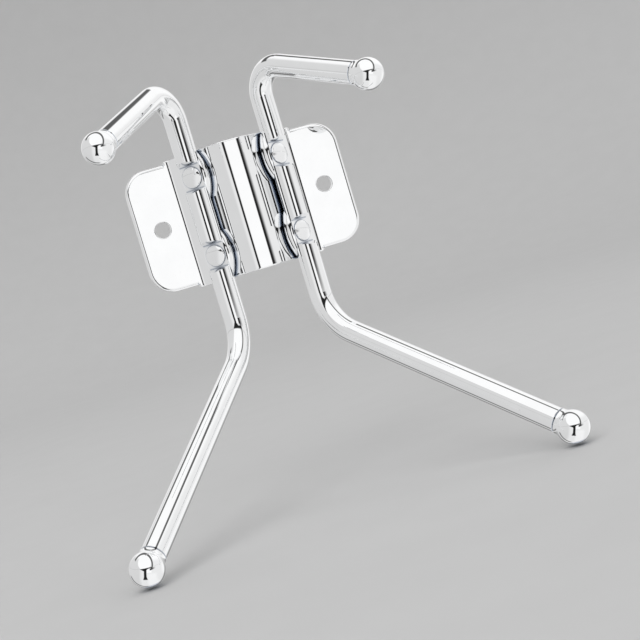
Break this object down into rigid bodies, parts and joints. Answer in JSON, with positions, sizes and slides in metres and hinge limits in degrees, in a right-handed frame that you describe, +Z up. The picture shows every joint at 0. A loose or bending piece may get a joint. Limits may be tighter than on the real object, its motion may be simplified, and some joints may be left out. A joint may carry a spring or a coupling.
{
  "type": "wall hook bracket",
  "caption": "Chrome wall bracket: a folded screw plate with bent, ball-ended rods riveted to its sloping faces, standing out as short upper and long lower arms.",
  "frame": {"origin": "on the wall plane, midway between the two screw holes", "axes": "+Z up, +X to the right of a person who faces the wall, -Y out of the wall"},
  "size_m": [0.1454, 0.085, 0.1478],
  "materials": {
    "plate_chrome": "bright polished plating",
    "rod_chrome": "bright polished plating",
    "rivet_chrome": "bright plating, slightly softer",
    "ball_chrome": "bright polished plating"
  },
  "bodies": {
    "root": {"back_plate": "plate_chrome", "left_rod": "rod_chrome", "right_rod": "rod_chrome", "upper_left_rivet": "rivet_chrome", "upper_right_rivet": "rivet_chrome", "lower_left_rivet": "rivet_chrome", "lower_right_rivet": "rivet_chrome", "upper_left_ball_tip": "ball_chrome", "upper_right_ball_tip": "ball_chrome", "lower_left_ball_tip": "ball_chrome", "lower_right_ball_tip": "ball_chrome"}
  },
  "joints": []
}
